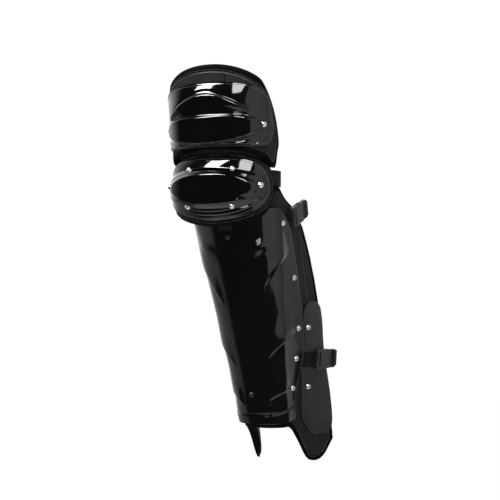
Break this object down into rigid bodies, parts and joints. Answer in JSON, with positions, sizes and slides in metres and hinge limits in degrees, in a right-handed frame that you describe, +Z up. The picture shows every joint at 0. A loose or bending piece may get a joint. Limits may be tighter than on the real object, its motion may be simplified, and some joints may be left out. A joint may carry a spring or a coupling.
{
  "type": "umpire leg guard",
  "caption": "Leg guard with gloss moulded thigh, knee and shin shells on padded liners, side wings, ankle plates, webbing links and buckled straps.",
  "frame": {"origin": "inner face of the shin liner on the middle plane, halfway up the shin, where the shin lies", "axes": "+Z up the leg, -Y forward, +X the side of the buckles"},
  "size_m": [0.1861, 0.3042, 0.6398],
  "materials": {
    "gloss_shell": "high gloss",
    "liner": "matt padded fabric",
    "webbing": "woven webbing",
    "elastic": "woven elastic",
    "side_plate": "satin",
    "buckle": "moulded",
    "rivet": "polished nickel",
    "black_rivet": "black"
  },
  "bodies": {
    "root": {"ankle_buckle_plug": "buckle", "ankle_buckle_socket": "buckle", "ankle_plate_left": "side_plate", "ankle_plate_right": "side_plate", "ankle_rivet_lower_left": "rivet", "ankle_rivet_lower_right": "rivet", "ankle_rivet_upper_left": "rivet", "ankle_rivet_upper_right": "rivet", "ankle_strap": "elastic", "ankle_webbing": "webbing", "calf_buckle_plug": "buckle", "calf_buckle_socket": "buckle", "calf_strap": "elastic", "calf_webbing": "webbing", "front_rivet_lower": "black_rivet", "front_rivet_upper": "black_rivet", "knee_cap": "gloss_shell", "knee_pad": "liner", "knee_rivet_lower_left": "rivet", "knee_rivet_lower_right": "rivet", "knee_rivet_side_left": "rivet", "knee_rivet_side_right": "rivet", "knee_rivet_upper_left": "rivet", "knee_rivet_upper_right": "rivet", "knee_shin_webbing": "webbing", "knee_strap": "elastic", "shin_pad": "liner", "shin_plate": "gloss_shell", "shin_rivet_left_1": "rivet", "shin_rivet_left_2": "rivet", "shin_rivet_left_3": "rivet", "shin_rivet_left_4": "rivet", "shin_rivet_left_5": "rivet", "shin_rivet_right_1": "rivet", "shin_rivet_right_2": "rivet", "shin_rivet_right_3": "rivet", "shin_rivet_right_4": "rivet", "shin_rivet_right_5": "rivet", "thigh_knee_webbing_left": "webbing", "thigh_knee_webbing_right": "webbing", "thigh_pad": "liner", "thigh_plate": "gloss_shell", "thigh_rivet_left": "rivet", "thigh_rivet_right": "rivet", "thigh_top_tab": "webbing"}
  },
  "joints": []
}
